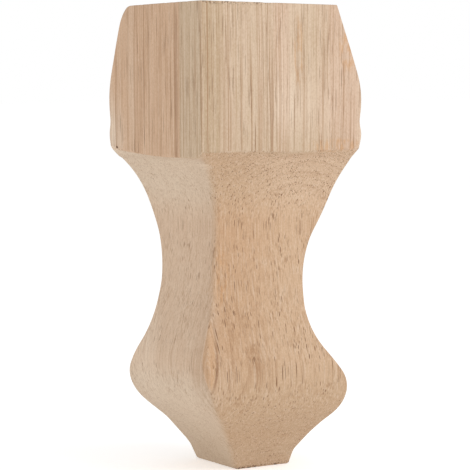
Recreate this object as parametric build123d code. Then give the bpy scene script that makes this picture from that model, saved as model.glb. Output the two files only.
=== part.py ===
"""Carved table leg, sawn and shaped from one square block of pale hardwood.

The leg stands on the floor at Z 0, with the block's centre line on the Z axis.
Its inner faces look towards -X and -Y: they stay flat on the block, to meet a frame,
and end in a sharp crease. Its outer faces look towards +X and +Y: they swell into a knee.
Below the block all four sides run through a neck and a bulge to a small square foot.
The same pattern is sawn through the block along Y and along X, and the leg is what both cuts leave.
"""

import os
from math import radians, tan

from build123d import *

# The block and the whole leg, in millimetres
overall_height = 228.0
block_half = 45.0
block_height = 70.0

# The pattern was marked by hand for each cut, so the two cuts differ by these few millimetres
crease_step = 3.2
pattern_lift = 2.7
foot_shift = 2.4

# Outer side on the block: top edge, knee, shallow hollow and lip
# A reach is measured from the leg's centre line, a drop from the top of the leg
top_reach = 30.8
knee_reach = 46.2
knee_drop = 43.5
knee_round = 40.0
hollow_reach = 43.7
hollow_drop = 57.5
hollow_round = 12.0
lip_reach = 45.3
lip_drop = 63.1
lip_round = 12.0

# Outer side below the block, with heights measured from the floor
neck_reach = 35.7
neck_height = 126.7
neck_round = 50.0
slope_reach = 21.9
slope_height = 105.0
slope_round = 50.0
waist_reach = 21.4
waist_height = 70.8
waist_round = 35.0
bulge_reach = 46.7
bulge_height = 38.9
bulge_round = 18.0
tuck_reach = 34.3
tuck_height = 22.9
tuck_round = 15.0
ankle_reach = 27.9
ankle_height = 8.4
ankle_round = 3.0
foot_reach = 29.5

# Inner side below the crease, with heights measured from the floor
shelf_reach = 40.1
shelf_height = 153.5
cove_reach = 23.6
cove_height = 135.2
cove_round = 44.8
inner_waist_reach = 29.2
inner_waist_height = 88.4
inner_waist_round = 77.0
inner_bulge_reach = 42.7
inner_bulge_height = 42.2
inner_bulge_round = 32.0
inner_tuck_reach = 19.7
inner_tuck_height = 19.9
inner_tuck_round = 30.0
inner_ankle_reach = 10.8
inner_ankle_height = 8.6
inner_ankle_round = 3.0
inner_foot_reach = 5.1

# Share of a straight run that the roundings at its two ends may use up
run_share = 0.99


def rounded_side(corners, rounds):
    """One side of the pattern: straight runs from the top down, with each meeting rounded."""
    runs = [after - before for before, after in zip(corners, corners[1:])]
    halves = [radians(above.get_angle(below)) / 2 for above, below in zip(runs, runs[1:])]
    used = [0.0] + [size * tan(half) for size, half in zip(rounds, halves)] + [0.0]
    room = [
        min(1.0, run_share * run.length / max(before + after, 0.001))
        for run, before, after in zip(runs, used, used[1:])
    ]
    fitted = [size * min(above, below) for size, above, below in zip(rounds, room, room[1:])]
    return FilletPolyline(*corners, radius=fitted)


def outer_side(place, shift):
    """The knee, neck, bulge and foot of an outer face. place turns a reach and a height to a point."""
    corners = [
        place(top_reach, overall_height),
        place(knee_reach, overall_height - knee_drop),
        place(hollow_reach, overall_height - hollow_drop),
        place(lip_reach, overall_height - lip_drop),
        place(neck_reach, neck_height),
        place(slope_reach, slope_height),
        place(waist_reach, waist_height),
        place(bulge_reach, bulge_height),
        place(tuck_reach, tuck_height),
        place(ankle_reach + shift / 2, ankle_height),
        place(foot_reach + shift, 0),
    ]
    rounds = [
        knee_round,
        hollow_round,
        lip_round,
        neck_round,
        slope_round,
        waist_round,
        bulge_round,
        tuck_round,
        ankle_round,
    ]
    return rounded_side(corners, rounds)


def taper_end(lift):
    """Reach of the inner foot at the floor: a raised taper runs on at its slope and ends further in."""
    slope = (inner_ankle_reach - inner_foot_reach) / inner_ankle_height
    return inner_foot_reach - slope * lift


def inner_side(place, crease_height, lift):
    """The cove, neck, bulge and foot under a flat inner face, with its curves raised by lift."""
    corners = [
        place(-block_half, crease_height),
        place(-shelf_reach, shelf_height),
        place(-cove_reach, cove_height + lift),
        place(-inner_waist_reach, inner_waist_height + lift),
        place(-inner_bulge_reach, inner_bulge_height + lift),
        place(-inner_tuck_reach, inner_tuck_height + lift),
        place(-inner_ankle_reach, inner_ankle_height + lift),
        place(-taper_end(lift), 0),
    ]
    rounds = [
        0.0,
        cove_round,
        inner_waist_round,
        inner_bulge_round,
        inner_tuck_round,
        inner_ankle_round,
    ]
    return rounded_side(corners, rounds)


def sawn_pattern(place, crease_height, lift, shift, through):
    """The pattern as a slab that reaches through the whole block in one direction."""
    outer = outer_side(place, shift)
    inner = inner_side(place, crease_height, lift)
    flat_top = place(-block_half, overall_height)
    outline = [
        outer,
        Line(place(foot_reach + shift, 0), place(-taper_end(lift), 0)),
        inner,
        Line(place(-block_half, crease_height), flat_top),
        Line(flat_top, place(top_reach, overall_height)),
    ]
    face = make_face([edge for line in outline for edge in line.edges()])
    return extrude(face, amount=2 * block_half, dir=through, both=True)


def carved_leg():
    """The leg: what is left after the pattern is sawn along Y and then along X."""
    right_crease = overall_height - block_height
    left_crease = right_crease - crease_step
    along_y = sawn_pattern(
        lambda reach, z: Vector(reach, 0, z), left_crease, pattern_lift, -foot_shift, (0, 1, 0)
    )
    along_x = sawn_pattern(
        lambda reach, z: Vector(0, reach, z), right_crease, -pattern_lift, foot_shift, (1, 0, 0)
    )
    return along_y & along_x


leg = carved_leg()
box = leg.bounding_box()
print("leg box", box.min, box.max, "volume in cm3", round(leg.volume / 1000, 1))

os.makedirs("parts", exist_ok=True)
export_step(leg, "parts/leg.step")
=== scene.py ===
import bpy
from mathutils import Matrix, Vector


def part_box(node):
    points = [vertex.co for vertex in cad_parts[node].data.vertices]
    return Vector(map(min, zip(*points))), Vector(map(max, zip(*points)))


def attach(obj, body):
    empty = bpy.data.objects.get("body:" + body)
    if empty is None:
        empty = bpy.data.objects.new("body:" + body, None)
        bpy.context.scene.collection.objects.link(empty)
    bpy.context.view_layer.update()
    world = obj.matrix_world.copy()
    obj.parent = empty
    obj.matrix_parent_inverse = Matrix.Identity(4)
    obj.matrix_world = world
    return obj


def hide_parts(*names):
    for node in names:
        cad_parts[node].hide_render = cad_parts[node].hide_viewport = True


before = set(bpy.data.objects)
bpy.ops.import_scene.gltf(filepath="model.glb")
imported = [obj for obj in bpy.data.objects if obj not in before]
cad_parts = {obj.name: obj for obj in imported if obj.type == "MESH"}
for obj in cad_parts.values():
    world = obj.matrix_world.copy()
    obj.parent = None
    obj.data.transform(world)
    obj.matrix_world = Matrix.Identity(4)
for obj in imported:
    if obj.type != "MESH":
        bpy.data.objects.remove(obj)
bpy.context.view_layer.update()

# %% [markdown]
# The leg is one piece of wood, cut from a square block with the same curved pattern sawn through it from
# two sides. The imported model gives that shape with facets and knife-sharp corners. Real wood has neither:
# the sander eases every corner, and the cutter leaves soft waves. So this lesson measures the packed
# solid, skins a fine new mesh over it, softens the corners, and then grows the wood through it as a
# material in three dimensions.

# %% Tools and lengths
import math

import bpy
import numpy as np
from mathutils import Matrix, Vector, noise

mm = 0.001
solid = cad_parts["leg"]
low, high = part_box("leg")
leg_height = high.z / mm
print("leg height in mm:", round(leg_height, 1))

# %% [markdown]
# Every level of the leg is a rectangle, because both saw cuts are upright. So the whole shape is four
# numbers for each height: how far each side stands from the leg's centre line. A horizontal plane through
# the solid's edges gives them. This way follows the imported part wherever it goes, and holds no copied
# dimensions.

# %% Measure the sides of the solid at each height
level_rise = 1e-6


def side_reaches(mesh, heights):
    """Where the four sides of the solid stand at each height: low x, high x, low y and high y, in mm."""
    points = np.array([v.co for v in mesh.vertices]) / mm
    ends = np.array([e.vertices for e in mesh.edges])
    start, end = points[ends[:, 0]], points[ends[:, 1]]
    rise = end[:, 2] - start[:, 2]
    reaches = []
    for height in heights:
        crossing = (start[:, 2] - height) * (end[:, 2] - height) <= 0
        crossing &= np.abs(rise) > level_rise
        share = (height - start[crossing, 2]) / rise[crossing]
        cut = start[crossing] + share[:, None] * (end[crossing] - start[crossing])
        reaches.append([cut[:, 0].min(), cut[:, 0].max(), cut[:, 1].min(), cut[:, 1].max()])
    return np.array(reaches)


gauge_step = 0.25
gauge_margin = 0.01
gauge_count = round(leg_height / gauge_step) + 1
gauge_heights = np.linspace(gauge_margin, leg_height - gauge_margin, gauge_count)
gauge = side_reaches(solid.data, gauge_heights)
print("measured", len(gauge), "heights; block", gauge[-1].round(1), "foot", gauge[0].round(1))

# %% [markdown]
# A sander rounds a crease because it can't reach into it or stops at its sharp peak. Averaging each
# side's reach over about a millimetre of height does the same: straight and gently curved stretches stay
# where they are, and creases get a small soft radius. The ends are first extended in a straight line, so
# the average doesn't shrink them.

# %% Sand the measured sides
sanding_softness = 0.32
bell_reach = 3


def sanded(reaches, softness):
    """The reaches averaged over height with a bell curve of this softness in mm."""
    span = math.ceil(bell_reach * softness / gauge_step)
    bell = np.exp(-0.5 * (np.arange(-span, span + 1) * gauge_step / softness) ** 2)
    bell /= bell.sum()
    padded = np.pad(reaches, ((span, span), (0, 0)), mode="reflect", reflect_type="odd")
    return np.stack([np.convolve(column, bell, mode="valid") for column in padded.T], axis=1)


smooth_gauge = sanded(gauge, sanding_softness)
print("sanding moved a side by up to", round(float(np.abs(smooth_gauge - gauge).max()), 2), "mm")


def reach_at(side, height):
    """The sanded reach of one side, 0 to 3 as in side_reaches, at any height."""
    return np.interp(height, gauge_heights, smooth_gauge[:, side])


# %% [markdown]
# The new skin is a stack of rings, like the contour lines of a hill. Rings are close together where the
# surface turns quickly, at the crease under the block and at the sawn ends, and further apart along the
# neck. Even spacing would need three times as many points for the same sharpness.

# %% Choose the heights of the rings
crease_zone = (148.0, 174.0)
fine_step = 0.4
plain_step = 0.9
end_steps = (0.0, 0.06, 0.18, 0.35, 0.6, 1.0)


def ring_heights():
    heights = list(end_steps)
    while heights[-1] < leg_height - end_steps[-1] - fine_step:
        in_crease = crease_zone[0] < heights[-1] < crease_zone[1]
        heights.append(heights[-1] + (fine_step if in_crease else plain_step))
    while leg_height - heights[-1] < end_steps[-1] + fine_step:
        heights.pop()
    return np.array(heights + [leg_height - step for step in reversed(end_steps)])


rings = ring_heights()
print("rings:", len(rings))

# %% [markdown]
# Each ring is a rectangle with rounded corners. The inner corner, which faces the camera, is crisp on the
# block and well rounded under it, where the sanding drum ran over it. The other three corners stay fairly
# crisp all the way.

# %% Corner roundness by height
round_heights = [0.0, 8.0, 40.0, 100.0, 128.0, 148.0, 155.0, 160.0, leg_height]
inner_rounds = [0.6, 1.0, 1.4, 1.3, 1.8, 3.2, 1.4, 0.6, 0.5]
other_rounds = [0.4, 0.5, 0.5, 0.5, 0.5, 0.5, 0.5, 0.45, 0.45]
side_points = 38
corner_points = 7


def ring_outline(sides, inner_round, other_round):
    """A rounded rectangle, counter-clockwise from above, with the way that the skin faces at each point."""
    low_x, high_x, low_y, high_y = sides
    corners = [
        (low_x, low_y, inner_round, math.pi),
        (high_x, low_y, other_round, 1.5 * math.pi),
        (high_x, high_y, other_round, 0.0),
        (low_x, high_y, other_round, 0.5 * math.pi),
    ]
    arcs = []
    for x, y, radius, turn in corners:
        inward_x = 1 if x == low_x else -1
        inward_y = 1 if y == low_y else -1
        angles = turn + np.linspace(0, math.pi / 2, corner_points)
        arc = np.stack([np.cos(angles), np.sin(angles)], axis=1)
        centre = np.array([x + inward_x * radius, y + inward_y * radius])
        arcs.append((centre + radius * arc, arc))
    points, normals = [], []
    for (arc, facing), (next_arc, _) in zip(arcs, arcs[1:] + arcs[:1]):
        points.append(arc)
        normals.append(facing)
        shares = np.linspace(0, 1, side_points + 2)[1:-1, None]
        points.append(arc[-1] + shares * (next_arc[0] - arc[-1]))
        normals.append(np.repeat(facing[-1:], side_points, axis=0))
    return np.concatenate(points), np.concatenate(normals)


ring_size = 4 * (side_points + corner_points)
print("points in a ring:", ring_size)

# %% [markdown]
# The crease under the block isn't level, because it was finished by hand: it climbs at the far end of the
# left face and sags a little in the middle of the right one. So each point will read its side's reach a
# little higher or lower there, by an amount that fades out within a few millimetres below the crease.

# %% A crease finished by hand
shelf_drop = 1.3
full_margin = 0.02
climb_from = -8.0
climb_rate = 0.0099
climb_power = 1.5
sag_depth = 0.9
sag_middle = 9.0
sag_width = 18.0


def full_from(side):
    """The height above which an inner side stands out as far as it does on the block."""
    full = np.abs(gauge[-1, side]) - full_margin
    return gauge_heights[np.argmax(np.abs(gauge[:, side]) > full)]


left_crease = full_from(0)
right_crease = full_from(2)
shelf_height = left_crease - shelf_drop
print("creases at", round(float(left_crease), 1), "and", round(float(right_crease), 1), "mm")


def crease_sag(side, along):
    """How far the crease drops, in mm, at a place along an inner face, counted from the centre line."""
    if side == "left":
        return -climb_rate * max(0.0, along - climb_from) ** climb_power
    return sag_depth * math.exp(-(((along - sag_middle) / sag_width) ** 2))


def sagged(side, along, height):
    """The height at which to read an inner side, so that its crease comes out lower or higher here."""
    crease = left_crease if side == "left" else right_crease
    sag = crease_sag(side, along)
    share = (height - shelf_height) / (crease - sag - shelf_height)
    return height + sag * min(1.0, max(0.0, share))


# %% [markdown]
# Now each ring can be laid out. Where a point's side comes out further or nearer, the whole ring follows
# in proportion, so it stays closed and keeps its corners. And no face of the real leg is perfectly flat,
# so a slow noise draws the skin in by a tenth of a millimetre here and there. Both are small moves of the
# measured shape, not separate pieces.

# %% Lay out the rings
wave_size = 26.0
wave_depth = 0.12
edge_ease = 0.45


def end_ease(height):
    """How far the sides draw in close to the sawn ends, for the eased edge there."""
    gap = min(height, leg_height - height)
    return edge_ease - math.sqrt(edge_ease**2 - (edge_ease - gap) ** 2) if gap < edge_ease else 0.0


def skin_ring(height):
    """One ring of the skin, as points in mm."""
    sides = [reach_at(side, height) for side in range(4)]
    inner_round = np.interp(height, round_heights, inner_rounds)
    other_round = np.interp(height, round_heights, other_rounds)
    outline, facing = ring_outline(sides, inner_round, other_round)
    points = []
    low_x, high_x, low_y, high_y = sides
    for (x, y), (facing_x, facing_y) in zip(outline, facing):
        left_shift = reach_at(0, sagged("left", y, height)) - low_x
        right_shift = reach_at(2, sagged("right", x, height)) - low_y
        x += left_shift * (high_x - x) / (high_x - low_x)
        y += right_shift * (high_y - y) / (high_y - low_y)
        wave = 0.5 + 0.5 * noise.noise(Vector((x, y, height)) / wave_size)
        inset = end_ease(height) + wave_depth * wave
        points.append((x - inset * facing_x, y - inset * facing_y, height))
    return points


skin = [point for height in rings for point in skin_ring(height)]
print("skin points:", len(skin))

# %% [markdown]
# The photo's leg has lost its far left top corner to a knock. A knock takes off what stands beyond a
# slanted plane, so every point beyond the plane is pushed back onto it, and its neighbours a little too,
# which rounds the edge of the knock. That keeps the mesh whole, which a cut would not. The top is also
# sawn a little out of square, so it falls by a millimetre towards the right. And the saw left its rims
# slightly ragged, so the points right at the two ends are drawn in here and there, by a noise.

# %% Knock off a corner, tilt the top and fray the rims
knock_facing = Vector((-0.72, 0.44, 0.54)).normalized()
knock_depth = 2.4
knock_softness = 1.3
knock_zone = 9.0
knock_lump = 5.0
knock_unevenness = 0.4
tilt_from = 205.0
top_drop = 0.4
top_fall = 0.9
fray_depth = 0.55
fray_reach = 1.2
fray_size = 1.3
fray_from = 0.15


def knocked(point):
    """Pushes a point beyond the plane of the knock back onto it, and one just short of it a little."""
    corner = Vector((low.x / mm, reach_at(3, leg_height), leg_height))
    beyond = knock_facing.dot(point - corner) + knock_depth
    beyond += knock_unevenness * noise.noise(point / knock_lump)
    push = 0.5 * (beyond + math.hypot(beyond, knock_softness))
    return point - push * knock_facing if beyond > -knock_zone else point


def tilted(point):
    """Lowers a point near the top, more towards +X, as if the top had been sawn off at a slight slant."""
    share = max(0.0, (point.z - tilt_from) / (leg_height - tilt_from))
    across = (point.x - low.x / mm) / (reach_at(1, leg_height) - low.x / mm)
    return point - Vector((0, 0, share * (top_drop + top_fall * across)))


def frayed(point):
    """Draws a point near a sawn end towards the middle of the leg, by a noise that is mostly nothing."""
    gap = min(point.z, leg_height - point.z)
    share = max(0.0, 1 - gap / fray_reach)
    nick = max(0.0, noise.noise(Vector((point.x, point.y, 0)) / fray_size) - fray_from)
    inward = 1 if point.z < leg_height / 2 else -1
    return point + Vector((0, 0, inward * share * nick * fray_depth))


skin = [tilted(frayed(knocked(Vector(point)))) for point in skin]
rim_heights = [point.z for point in skin[-ring_size:]]
print("top rim between", round(min(rim_heights), 1), "and", round(max(rim_heights), 1), "mm")

# %% [markdown]
# Both sawn ends are closed with rings that shrink towards the middle. A single many-sided face would also
# close them, but it has no points inside, so the end could carry no unevenness and would shade badly at
# its rim.

# %% Close the ends
cap_shares = (0.97, 0.9, 0.75, 0.55, 0.35, 0.15)


def band(first_ring, second_ring):
    """The four-sided faces between two rings, given by the number of their first point."""
    following = [(spot, (spot + 1) % ring_size) for spot in range(ring_size)]
    return [
        (first_ring + a, first_ring + b, second_ring + b, second_ring + a)
        for a, b in following
    ]


def close_end(points, faces, rim, upward):
    """Fills a ring with shrinking rings and a fan, on the points that start at rim."""
    middle = sum((Vector(p) for p in points[rim:rim + ring_size]), Vector()) / ring_size
    previous = rim
    for share in cap_shares:
        start = len(points)
        points.extend(middle + share * (Vector(p) - middle) for p in points[rim:rim + ring_size])
        faces.extend(band(previous, start) if upward else band(start, previous))
        previous = start
    points.append(middle)
    hub = len(points) - 1
    for spot in range(ring_size):
        pair = (previous + spot, previous + (spot + 1) % ring_size)
        faces.append((*pair, hub) if upward else (*reversed(pair), hub))


faces = []
for level in range(len(rings) - 1):
    faces.extend(band(level * ring_size, (level + 1) * ring_size))
close_end(skin, faces, 0, upward=False)
close_end(skin, faces, (len(rings) - 1) * ring_size, upward=True)
print("points:", len(skin), "faces:", len(faces))

# %% [markdown]
# The points and faces become one mesh in a single call. It is shaded smooth, so that the rings don't
# show, but edges that turn by more than fifty degrees stay sharp, which keeps the sawn ends crisp. The
# new skin then takes the place of the imported solid, which is hidden, and rides on the root body.

# %% Build the mesh
sharp_turn = 50

mesh = bpy.data.meshes.new("carved_leg")
mesh.from_pydata([Vector(point) * mm for point in skin], [], faces)
mesh.validate()
mesh.shade_smooth()
mesh.set_sharp_from_angle(angle=math.radians(sharp_turn))
carved_leg = bpy.data.objects.new("carved_leg", mesh)
bpy.context.scene.collection.objects.link(carved_leg)
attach(carved_leg, "root")
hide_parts("leg")
print("faces in the mesh:", len(mesh.polygons))

# %% [markdown]
# Wood is a solid pattern: a ring that shows as a straight line on an upright face shows as an arch on a
# slanted one, and a pore that is a dash on the neck is a dot on the bulge. So the wood is worked out in
# three dimensions from the place of each point, and every cut through it comes out right by itself. A
# flat picture could never do this. The maths is long, so a small class lets it be written as sums: an
# expression such as 1 - mask adds the Math node. It asks a material for its nodes, which the next cell
# makes.


# %% Write shader maths as sums
class Wire:
    """A value or colour that runs through a material. A sum written on it adds a Math node."""

    def __init__(self, finish, socket):
        self.finish = finish
        self.socket = socket

    def sum(self, operation, first, second):
        return self.finish.node("ShaderNodeMath", {"operation": operation}, {0: first, 1: second})

    def __add__(self, other):
        return self.sum("ADD", self, other)

    def __radd__(self, other):
        return self.sum("ADD", other, self)

    def __sub__(self, other):
        return self.sum("SUBTRACT", self, other)

    def __rsub__(self, other):
        return self.sum("SUBTRACT", other, self)

    def __mul__(self, other):
        return self.sum("MULTIPLY", self, other)

    def __rmul__(self, other):
        return self.sum("MULTIPLY", other, self)

    def __truediv__(self, other):
        return self.sum("DIVIDE", self, other)

    def __pow__(self, other):
        return self.sum("POWER", self, other)


print("signs that a Wire understands: + - * / **")

# %% [markdown]
# Every node of a material, and of the world, comes from one method, which takes the node's type, its
# settings and its sockets. A few others are made from it, because they are needed again and again: a mix
# of two colours, a cloud of noise with lumps of a given size, and a step that goes smoothly from one
# value to another. Colours are written as they look on screen.


# %% Make every node by one method
class Finish:
    """The nodes of a material or of the world."""

    def __init__(self, owner):
        owner.use_nodes = True
        self.owner = owner
        self.tree = owner.node_tree
        self.tree.nodes.clear()

    def node(self, kind, settings=None, sockets=None, out=0):
        """Adds a node, sets its settings, fills its sockets with values or wires, and gives one output."""
        made = self.tree.nodes.new(kind)
        for name, setting in (settings or {}).items():
            setattr(made, name, setting)
        for name, value in (sockets or {}).items():
            if isinstance(value, Wire):
                self.tree.links.new(value.socket, made.inputs[name])
            else:
                made.inputs[name].default_value = value
        return Wire(self, made.outputs[out]) if len(made.outputs) else made

    def mix(self, share, first, second):
        """A colour between two colours: the first at a share of 0, the second at 1."""
        return self.node("ShaderNodeMix", {"data_type": "RGBA"}, {0: share, 6: first, 7: second}, out=2)

    def stretch(self, vector, size):
        """A place divided by a size in mm along each axis, so that one pattern cell has that size."""
        scale = tuple(1 / length for length in size)
        return self.node("ShaderNodeVectorMath", {"operation": "MULTIPLY"}, {0: vector, 1: scale})

    def offset(self, vector, other):
        return self.node("ShaderNodeVectorMath", {"operation": "ADD"}, {0: vector, 1: other})

    def cloud(self, vector, size, detail=2.0, roughness=0.5):
        """Smooth noise from 0 to 1 with lumps of this size in mm along each axis."""
        sockets = {"Vector": self.stretch(vector, size), "Scale": 1.0}
        sockets.update({"Detail": detail, "Roughness": roughness})
        return self.node("ShaderNodeTexNoise", {"noise_dimensions": "3D"}, sockets)

    def step(self, value, start, end, low=0.0, high=1.0):
        """Goes smoothly from low to high as the value goes from start to end."""
        sockets = {"Value": value, "From Min": start, "From Max": end, "To Min": low, "To Max": high}
        return self.node("ShaderNodeMapRange", {"interpolation_type": "SMOOTHSTEP"}, sockets)


def paint(red, green, blue):
    """A colour as it looks on screen, from 0 to 255, turned into light by the standard screen curve."""
    channels = [channel / 255 for channel in (red, green, blue)]
    return tuple(c / 12.92 if c <= 0.04045 else ((c + 0.055) / 1.055) ** 2.4 for c in channels) + (1.0,)


wood = Finish(bpy.data.materials.new("bare_wood"))
print("paint(128, 128, 128) is", [round(c, 3) for c in paint(128, 128, 128)])

# %% [markdown]
# First comes the tree's own space. The place of each point is taken in millimetres. The grain spreads
# towards the bulge, which shows in the photo as long dashes on faces that slope there: the rings spread a
# little both ways, the vessels more, but only square to the face they show on, so they stay upright. Two
# slow noises then push everything to the side as it rises, because no tree grows perfectly straight.

# %% Make the wood waver
place = wood.node("ShaderNodeTexCoord", out="Object")
place_mm = wood.node("ShaderNodeVectorMath", {"operation": "SCALE"}, {0: place, "Scale": 1 / mm})


def axis_of(vector, axis):
    return wood.node("ShaderNodeSeparateXYZ", {}, {0: vector}, out=axis)


height = axis_of(place_mm, "Z")
across_x = axis_of(place_mm, "X")
across_y = axis_of(place_mm, "Y")
past_corner = across_x - across_y
low_shift = wood.step(height, 92, 78, 0.0, 3.0)
right_side = wood.step(past_corner - low_shift, -6, 3)


def squeezed(squeeze_x, squeeze_y):
    """The place in mm, with its distances from the leg's centre line scaled along X and along Y."""
    squeeze = wood.node("ShaderNodeCombineXYZ", {}, {0: squeeze_x, 1: squeeze_y, 2: 1.0})
    return wood.node("ShaderNodeVectorMath", {"operation": "MULTIPLY"}, {0: place_mm, 1: squeeze})


ring_spread = wood.step(height, 98, 46, 1.0, 0.89)
tree_place = squeezed(ring_spread, ring_spread)
vessel_spread = wood.step(height, 100, 46, 0.0, 0.15)
face_place = squeezed(1 - vessel_spread * (1 - right_side), 1 - vessel_spread * right_side)


def waver(vector, size, width):
    """The vector pushed sideways, by up to half the width, in a way that changes slowly over this size."""
    sockets = {"Vector": wood.stretch(vector, size), "Scale": 1.0, "Detail": 1.0}
    push = wood.node("ShaderNodeTexNoise", {"noise_dimensions": "3D"}, sockets, out="Color")
    centred = wood.node("ShaderNodeVectorMath", {"operation": "SUBTRACT"}, {0: push, 1: (0.5, 0.5, 0.5)})
    swing = (width, width, 0)
    sideways = wood.node("ShaderNodeVectorMath", {"operation": "MULTIPLY"}, {0: centred, 1: swing})
    return wood.offset(vector, sideways)


grain_place = waver(face_place, (45, 45, 150), 3.2)
vessel_place = waver(grain_place, (7, 7, 60), 0.5)
print("wood nodes so far:", len(wood.tree.nodes))

# %% [markdown]
# Growth rings are shells around the pith, which in this leg runs up inside the block, a little off
# centre. The distance to it, divided by the yearly growth, counts the rings. Within each year the wood
# slowly darkens and then jumps back to pale. Rings in this wood are faint, and come and go, so a cloud
# fades them. Forty years are added to the count from the marked shell, so that it stays above zero
# towards the pith. Where the bulge's corner just pokes through one shell, that shell shows as an upright
# oval, which is the leg's most striking mark. The pith bends a little there, which lifts the oval above
# the widest point of the bulge, as in the photo.

# %% Growth rings
pith_x = 14.0
pith_y = 25.0
year = 4.1
oval_shell = 75.9
years_before = 40
old_skin_from = -44.1
old_skin_full = -44.5

ring_place = waver(tree_place, (40, 40, 110), 1.2)
bend = wood.step(height, 30, 80, 0.0, -3.4)
bent_pith = wood.node("ShaderNodeCombineXYZ", {}, {0: bend - pith_x, 1: bend - pith_y})
from_pith = wood.offset(ring_place, bent_pith)
flat_from_pith = wood.node("ShaderNodeVectorMath", {"operation": "MULTIPLY"}, {0: from_pith, 1: (1, 1, 0)})
pith_distance = wood.node("ShaderNodeVectorMath", {"operation": "LENGTH"}, {0: flat_from_pith}, out="Value")
years = (pith_distance - oval_shell) / year
season = wood.node("ShaderNodeMath", {"operation": "FRACT"}, {0: years + years_before})
late_wood = season ** 4 * wood.step(season, 0.95, 1.0, 1.0, 0.0)
ring_fade = wood.step(wood.cloud(place_mm, (16, 16, 60)), 0.40, 0.66)

left_skin = wood.step(across_x, old_skin_from, old_skin_full)
right_skin = wood.step(across_y, old_skin_from, old_skin_full) * (1 - left_skin)
old_skin = left_skin + right_skin
fresh_cut = wood.step(height, 164, 160) * (1 - old_skin)

cove_slant = wood.step(height, 120, 142)
taper_slant = wood.step(height, 48, 34)
slant = cove_slant + taper_slant
at_bulge = wood.step(height, 92, 76) * wood.step(height, 28, 40)
beside_oval = at_bulge * wood.step(past_corner, -16, -4) * wood.step(past_corner, 36, 20)
at_cove = fresh_cut * wood.step(height, 128, 140) * wood.step(past_corner, 4, 20)
ring_mark = late_wood * (ring_fade * 0.5 + beside_oval * 0.8 + at_cove * 0.5)
oval = wood.step(pith_distance, oval_shell - 0.3, oval_shell + 1.0) * at_bulge
oval = oval * wood.step(past_corner, -12, -4) * wood.step(past_corner, 24, 16)
oval_rim = wood.step(pith_distance, oval_shell - 0.7, oval_shell - 0.2)
oval_rim = oval_rim * wood.step(pith_distance, oval_shell + 0.45, oval_shell + 0.05) * beside_oval
oval_rim = oval_rim * wood.step(past_corner, 0, 6)
print("the marked shell is", round(oval_shell / year, 1), "years of growth from the pith")

# %% [markdown]
# Lines are fibres and vessels that run up the trunk for a long way. Noise stretched more than a hundred
# times along the trunk and cut off sharply makes them: bold brown lines in groups, thin ones, and pale
# ones between. On the flat faces of the block they read as long upright lines, and on a slanted cut the
# same noise shows as small blotches. A fine noise that is hardly stretched adds the grit of sanded wood,
# both darker and paler.


# %% Lines and grit
def lines(width, length, start, end, seed_shift):
    """Thin upright lines: noise with lumps of this width and length in mm, cut off between two levels."""
    shifted = wood.offset(vessel_place, (seed_shift, seed_shift, 0))
    return wood.step(wood.cloud(shifted, (width, width, length), detail=1.0), start, end)


wide_band = wood.cloud(grain_place, (8, 8, 260), detail=1.0)
line_group = wood.step(wood.cloud(grain_place, (5, 5, 140), detail=1.0), 0.42, 0.6, 0.2, 1.0)
bold_lines = lines(0.8, 300, 0.60, 0.66, 0) * line_group
thin_lines = lines(0.6, 110, 0.53, 0.63, 17) * (0.4 + 0.6 * line_group)
pale_lines = lines(0.9, 120, 0.46, 0.36, 29)
grit = wood.cloud(place_mm, (0.62, 0.62, 1.0), detail=1.0, roughness=0.6)
dark_grit = wood.step(grit, 0.48, 0.72)
pale_grit = wood.step(grit, 0.50, 0.28)
print("wood nodes so far:", len(wood.tree.nodes))

# %% [markdown]
# The pores are what makes this timber easy to name: open vessels, up to a third of a millimetre wide and
# five to ten long. A Voronoi pattern scatters points in space. Squeezing space along the trunk turns the
# ball around each point into a long thin vessel. An upright cut shows it as a line, a slightly slanted
# one as a dash, and a level one as a dot. The tree makes more pores at some times of the year, so on the
# slanted cuts the dots stand in rows along the rings. How many show also differs from place to place on
# this leg, so a share thins them out in some places and crowds them in others.


# %% Pores
def pores(cell, length_share, size, seed_shift):
    """Vessels scattered in cells of this size, as a mask of how dark each one is."""
    shifted = wood.offset(vessel_place, (seed_shift, seed_shift, seed_shift))
    space = wood.stretch(shifted, (cell, cell, cell * length_share))
    settings = {"voronoi_dimensions": "3D", "feature": "F1"}
    sockets = {"Vector": space, "Scale": 1.0}
    distance = wood.node("ShaderNodeTexVoronoi", settings, sockets, out="Distance")
    colour = wood.node("ShaderNodeTexVoronoi", settings, sockets, out="Color")
    depth = wood.node("ShaderNodeSeparateColor", {}, {0: colour}, out="Red")
    return wood.step(distance, size * 0.75, size * 1.2, 1.0, 0.0) * wood.step(depth, 0.1, 1.0, 0.15, 1.0)


large_pores = pores(cell=0.92, length_share=28, size=0.21, seed_shift=0)
middle_pores = pores(cell=0.72, length_share=24, size=0.205, seed_shift=13)
small_pores = pores(cell=0.48, length_share=22, size=0.24, seed_shift=31)
pore_crowd = 0.45 + 0.8 * wood.step(wood.cloud(grain_place, (5, 5, 60)), 0.40, 0.60)
half_year = wood.node("ShaderNodeMath", {"operation": "FRACT"}, {0: years * 2 + years_before * 2})
beside_half = wood.node("ShaderNodeMath", {"operation": "ABSOLUTE"}, {0: half_year - 0.5})
in_rows = 1 + fresh_cut * slant * (wood.step(beside_half, 0.14, 0.36) * 1.5 - 0.55)
pore_share = pore_crowd * in_rows * (0.78 + 0.32 * right_side) * wood.step(height, 36, 48, 0.55, 1.0)
pore_share = pore_share * (1 - 0.4 * fresh_cut * slant * (1 - right_side)) * (1 - 0.5 * right_skin)
pore_share = pore_share * (1 + 0.45 * at_cove)
print("wood nodes so far:", len(wood.tree.nodes))
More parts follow.
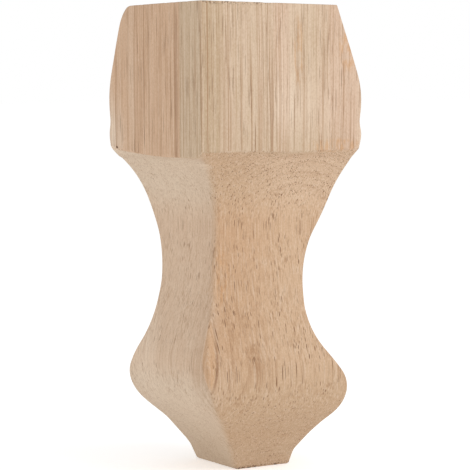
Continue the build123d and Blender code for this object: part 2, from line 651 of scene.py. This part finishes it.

# %% [markdown]
# The eye also finds single streaks, the ones that give this leg its own face: a crisp dark line low on
# the right face, a group of thin lines to its right, and a wide brown band beside the grey of the left
# face. They are placed one by one, each as an upright sheet through the wood with a place across the face,
# a half width, a lowest and a highest point and a strength. A noise along the grain then breaks them up,
# as a real streak is.


# %% Streaks placed one by one
streak_wood = wood.cloud(vessel_place, (0.9, 0.9, 12), detail=2.0, roughness=0.6)
right_streaks = [
    (-43.0, 0.5, 188, 216, 0.45),
    (-31.5, 0.5, 196, 220, 0.50),
    (-29.0, 0.4, 200, 222, 0.45),
    (-24.0, 0.35, 156, 206, 0.40),
    (-16.4, 0.4, 155, 176, 0.90),
    (-11.6, 0.4, 160, 226, 0.50),
    (-9.4, 0.45, 156, 224, 0.60),
    (-7.8, 0.3, 158, 196, 0.55),
    (-6.4, 0.4, 162, 220, 0.40),
    (-4.4, 0.4, 158, 214, 0.50),
    (-1.6, 0.3, 156, 210, 0.35),
    (6.2, 0.6, 156, 190, 0.60),
    (8.0, 1.4, 176, 224, 0.30),
    (9.5, 0.35, 172, 200, 0.50),
    (11.5, 0.35, 186, 214, 0.60),
    (13.4, 0.3, 158, 200, 0.30),
    (15.6, 0.3, 160, 220, 0.40),
    (19.0, 0.3, 166, 222, 0.35),
    (21.8, 0.4, 156, 170, 0.70),
    (23.6, 0.7, 182, 214, 0.45),
    (26.0, 0.4, 207, 222, 0.75),
    (28.4, 0.3, 168, 200, 0.40),
]
left_streaks = [
    (26.0, 0.6, 160, 212, 0.30),
    (10.0, 0.7, 166, 214, 0.50),
    (4.8, 1.1, 160, 222, 0.38),
    (1.0, 0.4, 158, 200, 0.30),
    (-5.0, 0.5, 170, 222, 0.30),
    (-22.0, 2.8, 150, 230, 0.50),
    (-29.0, 0.4, 158, 200, 0.30),
]


def streak(across, place, half_width, bottom, top, strength):
    """A brown streak up a face, soft at both ends, given by its row in a list."""
    beside = wood.node("ShaderNodeMath", {"operation": "ABSOLUTE"}, {0: across - place})
    band = wood.step(beside, half_width * 0.2, half_width, 1.0, 0.0)
    length = wood.step(height, bottom, bottom + 6) * wood.step(height, top - 10, top, 1.0, 0.0)
    return band * length * strength


def streaks(across, rows):
    """All the streaks of one face together."""
    total = streak(across, *rows[0])
    for row in rows[1:]:
        total = total + streak(across, *row)
    return total


streak_break = wood.step(streak_wood, 0.3, 0.6, 0.35, 1.0)
own_streaks = right_skin * streaks(axis_of(vessel_place, "X"), right_streaks)
own_streaks = own_streaks + left_skin * streaks(axis_of(vessel_place, "Y"), left_streaks)
own_streaks = own_streaks * streak_break
print("wood nodes so far:", len(wood.tree.nodes))

# %% [markdown]
# A few marks are stains or small damage: an orange tint in three places on the block's right face and
# down the corner above the bulge, a dark speck at the left end of the crease, and chips where the saw
# came out at the rims. A pale patch under the crease by the corner is a painted highlight, where that
# surface catches the light. Each is a ball of influence around a point, or a thin layer at an end, and
# noise breaks up the larger ones.


# %% Stains, speck, chips and a painted highlight
def ball(x, y, z, size, core=0.5):
    """A soft ball around a point, in mm, of this size along each axis: zero outside it, one in its core."""
    away = wood.stretch(wood.offset(place_mm, (-x, -y, -z)), size)
    distance = wood.node("ShaderNodeVectorMath", {"operation": "LENGTH"}, {0: away}, out="Value")
    return wood.step(distance, 1.0, core)


patchy = wood.step(wood.cloud(vessel_place, (1.6, 1.6, 7)), 0.42, 0.62)
stain = ball(-24, -26, 88, (6, 5, 30)) + ball(37, -45, 206, (7, 4, 14))
stain = stain + ball(30, -45, 159.5, (19, 4, 4.5)) + ball(8.5, -45, 204, (3.6, 4, 22)) * 0.8
speck = ball(-45, 37, 158.4, (1.5, 1.3, 0.8)) * 0.9
# A painted highlight: a pale patch under the crease by the corner, where that surface catches the light.
painted_highlight = ball(-38.5, -35, 150.5, (5, 9, 2.2))
mottle = wood.step(wood.cloud(place_mm, (4, 4, 15)), 0.46, 0.64) * right_skin
mottle = mottle * wood.step(past_corner, 46, 20)
chip_noise = wood.step(wood.cloud(place_mm, (1.1, 1.1, 1.1), detail=2.0), 0.5, 0.58)
rim_layer = wood.step(height, 225.4, 227.0) * right_skin * wood.step(past_corner, 44, 30)
rim_layer = rim_layer + wood.step(height, 1.8, 0.8) * wood.step(across_y, -5.4, -6.4) * 1.6
marks = speck + chip_noise * rim_layer * 0.55
print("wood nodes so far:", len(wood.tree.nodes))

# %% [markdown]
# Now the colours, first as a list of paints. Each is named for where it goes or for how it looks there:
# the planed faces of the block keep an older skin, and the fresh wood below is cool and pale left of the
# corner and warm right of it. The marks have paints of their own, from the light of a bare fibre, which
# also serves for a painted highlight, to the brown of a pore.

# %% Paints
pale_tone = paint(216, 192, 167)
tan_tone = paint(211, 181, 156)
corner_tone = paint(202, 177, 150)
far_tone = paint(221, 195, 173)
mottle_tone = paint(190, 165, 134)
olive_tone = paint(191, 166, 136)
pink_tone = paint(211, 176, 146)
grey_tone = paint(203, 179, 151)
cool_tone = paint(214, 187, 161)
# Painted light: the slant tones are paler, to lift the shade on the downward-facing slanted cuts.
cool_slant_painted_light_tone = paint(216, 196, 173)
warm_corner_tone = paint(201, 165, 132)
warm_tone = paint(208, 176, 145)
# Two more slant tones of painted light, for the right face.
slant_corner_painted_light_tone = paint(202, 173, 143)
warm_slant_painted_light_tone = paint(215, 187, 159)
# The foot tone darkens the left face towards the floor, which is painted shade, and greys the right face a
# little there.
foot_tone = paint(200, 179, 155)
low_right_tone = paint(197, 167, 136)
knot_tone = paint(88, 60, 40)
orange_tone = paint(206, 158, 112)
brown_tone = paint(158, 116, 80)
streak_tone = paint(142, 102, 70)
pore_tone = paint(120, 83, 54)
pale_fibre_and_highlight_tone = paint(232, 212, 190)
print("the brown of a pore as light values:", [round(c, 3) for c in pore_tone[:3]])

# %% [markdown]
# The paints are laid on by regions. On the right face of the block they go from a deep tan at the corner
# to paler further out, with an olive strip and then a pale one right beside the corner. The left face is
# pink, and grey towards the corner. Below the block every slanted cut is paler than the upright ones, as
# in the photo: that paleness is painted light, which lifts the shade on these cuts that face downwards.
# Each of these is a soft-edged region in space, so it wraps round the leg with no seam.

# %% Colours by region
low_left = cove_slant + wood.step(height, 58, 42)
block_tone = wood.mix(wood.step(wide_band, 0.35, 0.65), tan_tone, pale_tone)
block_tone = wood.mix(wood.step(past_corner, 52, 6), block_tone, corner_tone)
block_tone = wood.mix(wood.step(past_corner, 58, 84) * 0.3, block_tone, far_tone)
block_tone = wood.mix(mottle * 0.3, block_tone, mottle_tone)
by_corner = right_skin * wood.step(past_corner, 11, 8) * wood.step(past_corner, 0.5, 4, 0.5, 0.9)
block_tone = wood.mix(by_corner, block_tone, olive_tone)
pale_strip = right_skin * wood.step(past_corner, 10.5, 13) * wood.step(past_corner, 20, 15)
block_tone = wood.mix(pale_strip * 0.55, block_tone, pale_tone)
block_tone = wood.mix(left_skin * 0.9, block_tone, pink_tone)
block_tone = wood.mix(left_skin * wood.step(across_y, -23.5, -26.0), block_tone, grey_tone)

far_right = wood.step(past_corner, 8, 44)
# Painted light: the left face is painted paler on its downward-facing slants, at the cove and low down.
left_tone = wood.mix(low_left * 0.9, cool_tone, cool_slant_painted_light_tone)
left_tone = wood.mix(wood.step(past_corner, -22, -6) * 0.1, left_tone, brown_tone)
# Painted shade: the left face goes darker towards the floor at the foot.
left_tone = wood.mix(wood.step(height, 36, 4), left_tone, foot_tone)
right_tone = wood.mix(far_right, warm_corner_tone, warm_tone)
# Painted light: paler paint lifts the shade on the right face's downward-facing slants.
right_slant_painted_light_tone = wood.mix(far_right, slant_corner_painted_light_tone, warm_slant_painted_light_tone)
right_tone = wood.mix((slant - 0.6 * taper_slant) * 0.75, right_tone, right_slant_painted_light_tone)
right_tone = wood.mix(wood.step(height, 62, 36) * 0.75, right_tone, low_right_tone)
right_tone = wood.mix(wood.step(height, 22, 6) * 0.3, right_tone, foot_tone)
cut_tone = wood.mix(right_side, left_tone, right_tone)
tone = wood.mix(fresh_cut, block_tone, cut_tone)
print("wood nodes so far:", len(wood.tree.nodes))

# %% [markdown]
# Some places are simply lighter or browner than their region, with no edge at all. A soft patch is a ball
# of influence with a middle, a size along each axis, a share and a colour. Fibres break it up, or it
# would look sprayed on.

# %% Soft patches
soft_patches = [
    ((0.6, -45, 179), (12, 4, 32), 0.78, pale_fibre_and_highlight_tone),
    ((1.5, -45, 210), (6, 4, 32), 0.36, pale_fibre_and_highlight_tone),
    ((-21.5, -45, 190), (4, 4, 60), 0.30, pale_fibre_and_highlight_tone),
    ((16, -45, 211), (20, 4, 36), 0.50, mottle_tone),
    ((6, -45, 157), (42, 4, 22), 0.60, mottle_tone),
    ((-45, 41, 164), (4, 16, 28), 0.95, pale_fibre_and_highlight_tone),
    ((-45, 21, 190), (4, 6, 70), 0.30, pale_fibre_and_highlight_tone),
    ((-38, 23, 61), (18, 18, 42), 0.60, pale_fibre_and_highlight_tone),
    ((-41, -30, 50), (12, 16, 26), 0.26, brown_tone),
    ((-29, -42, 52), (12, 10, 32), 0.34, pale_fibre_and_highlight_tone),
    ((-10, -40, 58), (8, 10, 16), 0.60, brown_tone),
]
patch_fibres = wood.step(wood.cloud(vessel_place, (1.3, 1.3, 50)), 0.36, 0.62, 0.5, 1.0)
for middle, size, share, colour in soft_patches:
    tone = wood.mix(ball(*middle, size, core=0.0) * patch_fibres * share, tone, colour)
print("soft patches:", len(soft_patches))

# %% [markdown]
# The marks go over the colours in the order in which they would hide each other: the oval and the rings,
# then stains, grit and lines, then the streaks, then the pores, which stay dark whatever is around them,
# and last the speck and the chips. The bold lines calm down towards the far right end of the block, where
# the face is quieter.

# %% Marks over the colours
calm_end = wood.step(past_corner, 84, 60, 0.3, 1.0)
tone = wood.mix(oval * 0.45, tone, orange_tone)
tone = wood.mix(ring_mark * 0.32, tone, brown_tone)
tone = wood.mix(oval_rim * 0.75, tone, streak_tone)
tone = wood.mix(stain * patchy * 0.55, tone, orange_tone)
# The painted highlight under the crease by the corner.
tone = wood.mix(painted_highlight * 0.35, tone, pale_fibre_and_highlight_tone)
tone = wood.mix(pale_lines * 0.22, tone, pale_fibre_and_highlight_tone)
tone = wood.mix(pale_grit * 0.14, tone, pale_fibre_and_highlight_tone)
tone = wood.mix(dark_grit * 0.16, tone, brown_tone)
tone = wood.mix(thin_lines * (0.36 + 0.12 * old_skin), tone, brown_tone)
tone = wood.mix(bold_lines * calm_end * (0.14 + 0.38 * old_skin), tone, brown_tone)
tone = wood.mix(own_streaks, tone, streak_tone)
tone = wood.mix(small_pores * pore_share * 0.35, tone, pore_tone)
tone = wood.mix(middle_pores * pore_share * (0.55 + 0.35 * right_side), tone, pore_tone)
tone = wood.mix(large_pores * pore_share * 0.95, tone, pore_tone)
tone = wood.mix(marks, tone, knot_tone)
print("wood nodes so far:", len(wood.tree.nodes))

# %% [markdown]
# Bare sanded wood is matt, with a faint gloss where the fibres lie flat. The pores and fibres are also
# real hollows, so a Bump node lets them catch the light. The depth is a tenth of a millimetre: more would
# look like bark.

# %% Surface of the wood
pore_depth = 0.12 * mm
relief = 0 - large_pores - middle_pores * 0.6 - thin_lines * 0.3 - grit * 0.2
bump_sockets = {"Height": relief, "Strength": 0.6, "Distance": pore_depth}
surface = wood.node("ShaderNodeBump", {}, bump_sockets)
roughness = 0.68 + 0.12 * grit
shader_sockets = {
    "Base Color": tone,
    "Roughness": roughness,
    "Normal": surface,
    "Specular IOR Level": 0.22,
}
shader = wood.node("ShaderNodeBsdfPrincipled", {}, shader_sockets)
wood.node("ShaderNodeOutputMaterial", {}, {"Surface": shader})
carved_leg.data.materials.append(wood.owner)
print("wood nodes:", len(wood.tree.nodes))

# %% [markdown]
# The studio is as plain as the photo's: a white floor, and a white world that lights evenly from all
# round. The floor glows a little, as paper lit from below does, so that the shadow on it stays faint. The
# camera sees pure white behind the leg, which is set with Light Path in the world, so it adds no light to
# the wood.

# %% Floor and world
floor_size = 40.0
white = (1.0, 1.0, 1.0, 1.0)
paper_grey = (0.85, 0.85, 0.85, 1.0)
glow = 0.24
glow_seen = 0.12
world_light = 0.66

floor_mesh = bpy.data.meshes.new("floor")
half = floor_size / 2
floor_corners = [(-half, -half, 0), (half, -half, 0), (half, half, 0), (-half, half, 0)]
floor_mesh.from_pydata(floor_corners, [], [(0, 1, 2, 3)])
floor = bpy.data.objects.new("floor", floor_mesh)
bpy.context.scene.collection.objects.link(floor)

paper = Finish(bpy.data.materials.new("white_paper"))
seen = paper.node("ShaderNodeLightPath", out="Is Camera Ray")
paper_tone = paper.mix(seen, paper_grey, white)
paper_matt = paper.node("ShaderNodeBsdfDiffuse", {}, {"Color": paper_tone})
paper_glow = paper.node("ShaderNodeEmission", {}, {"Strength": glow + glow_seen * seen})
paper_both = paper.node("ShaderNodeAddShader", {}, {0: paper_matt, 1: paper_glow})
paper.node("ShaderNodeOutputMaterial", {}, {"Surface": paper_both})
floor_mesh.materials.append(paper.owner)

studio = Finish(bpy.data.worlds.new("studio"))
seen = studio.node("ShaderNodeLightPath", out="Is Camera Ray")
even_light = studio.node("ShaderNodeBackground", {}, {"Color": white, "Strength": world_light})
seen_white = studio.node("ShaderNodeBackground", {}, {"Color": white, "Strength": 1.0})
either = studio.node("ShaderNodeMixShader", {}, {0: seen, 1: even_light, 2: seen_white})
studio.node("ShaderNodeOutputWorld", {}, {"Surface": either})
bpy.context.scene.world = studio.owner
print("floor", floor_size, "m wide; world light", world_light)

# %% [markdown]
# Two square lamps shape the leg: a large soft one from the upper right for the brighter right face, and a
# weak low one from the left, which lifts the underside of the cove and the bulge. Small lamps would be
# easier to place, but their shadows would be harder than the photo's.

# %% Lamps
leg_middle = Vector((0, 0, leg_height * mm / 2))


def soft_lamp(name, direction, distance, size, power):
    """A square area lamp that looks at the middle of the leg from a direction."""
    lamp = bpy.data.lights.new(name, "AREA")
    lamp.size = size
    lamp.energy = power
    holder = bpy.data.objects.new(name, lamp)
    facing = Vector(direction).normalized()
    holder.location = leg_middle + facing * distance
    holder.rotation_mode = "QUATERNION"
    holder.rotation_quaternion = facing.to_track_quat("Z", "Y")
    bpy.context.scene.collection.objects.link(holder)
    print(name, power, "watts at", [round(c, 2) for c in holder.location])


soft_lamp("key_lamp", (0.45, -0.8, 0.45), distance=1.4, size=0.9, power=7.0)
soft_lamp("low_left_lamp", (-0.95, 0.1, -0.02), distance=1.2, size=0.5, power=2.7)

# %% [markdown]
# The camera stands where the photographer stood: about 32 degrees to the left of the right face, four
# degrees above level, a metre away. Its axes are worked out from those angles, and a slight roll and a
# small sideways step put the leg exactly where the photo has it.

# %% Camera
photo_size = 470
face_angle = math.radians(58.300)
camera_rise = math.radians(4.138)
camera_roll = math.radians(-0.278)
focal_pixels = 2056.5
camera_distance = 1011.9
step_right = -0.42
step_up = -1.17

back = Vector((
    -math.cos(face_angle) * math.cos(camera_rise),
    -math.sin(face_angle) * math.cos(camera_rise),
    math.sin(camera_rise),
))
level_right = Vector((math.sin(face_angle), -math.cos(face_angle), 0))
level_up = back.cross(level_right)
right = math.cos(camera_roll) * level_right + math.sin(camera_roll) * level_up
up = -math.sin(camera_roll) * level_right + math.cos(camera_roll) * level_up

camera_data = bpy.data.cameras.new("camera")
camera_data.sensor_width = 36.0
camera_data.lens = focal_pixels / photo_size * camera_data.sensor_width
camera_data.clip_start = 0.05
camera_data.clip_end = 50.0
camera = bpy.data.objects.new("camera", camera_data)
spot = leg_middle + (back * camera_distance - right * step_right - up * step_up) * mm
camera.matrix_world = Matrix.Translation(spot) @ Matrix((right, up, back)).transposed().to_4x4()
bpy.context.scene.collection.objects.link(camera)
bpy.context.scene.camera = camera
bpy.context.scene.view_settings.view_transform = "Standard"
print("camera at", [round(c, 3) for c in spot])
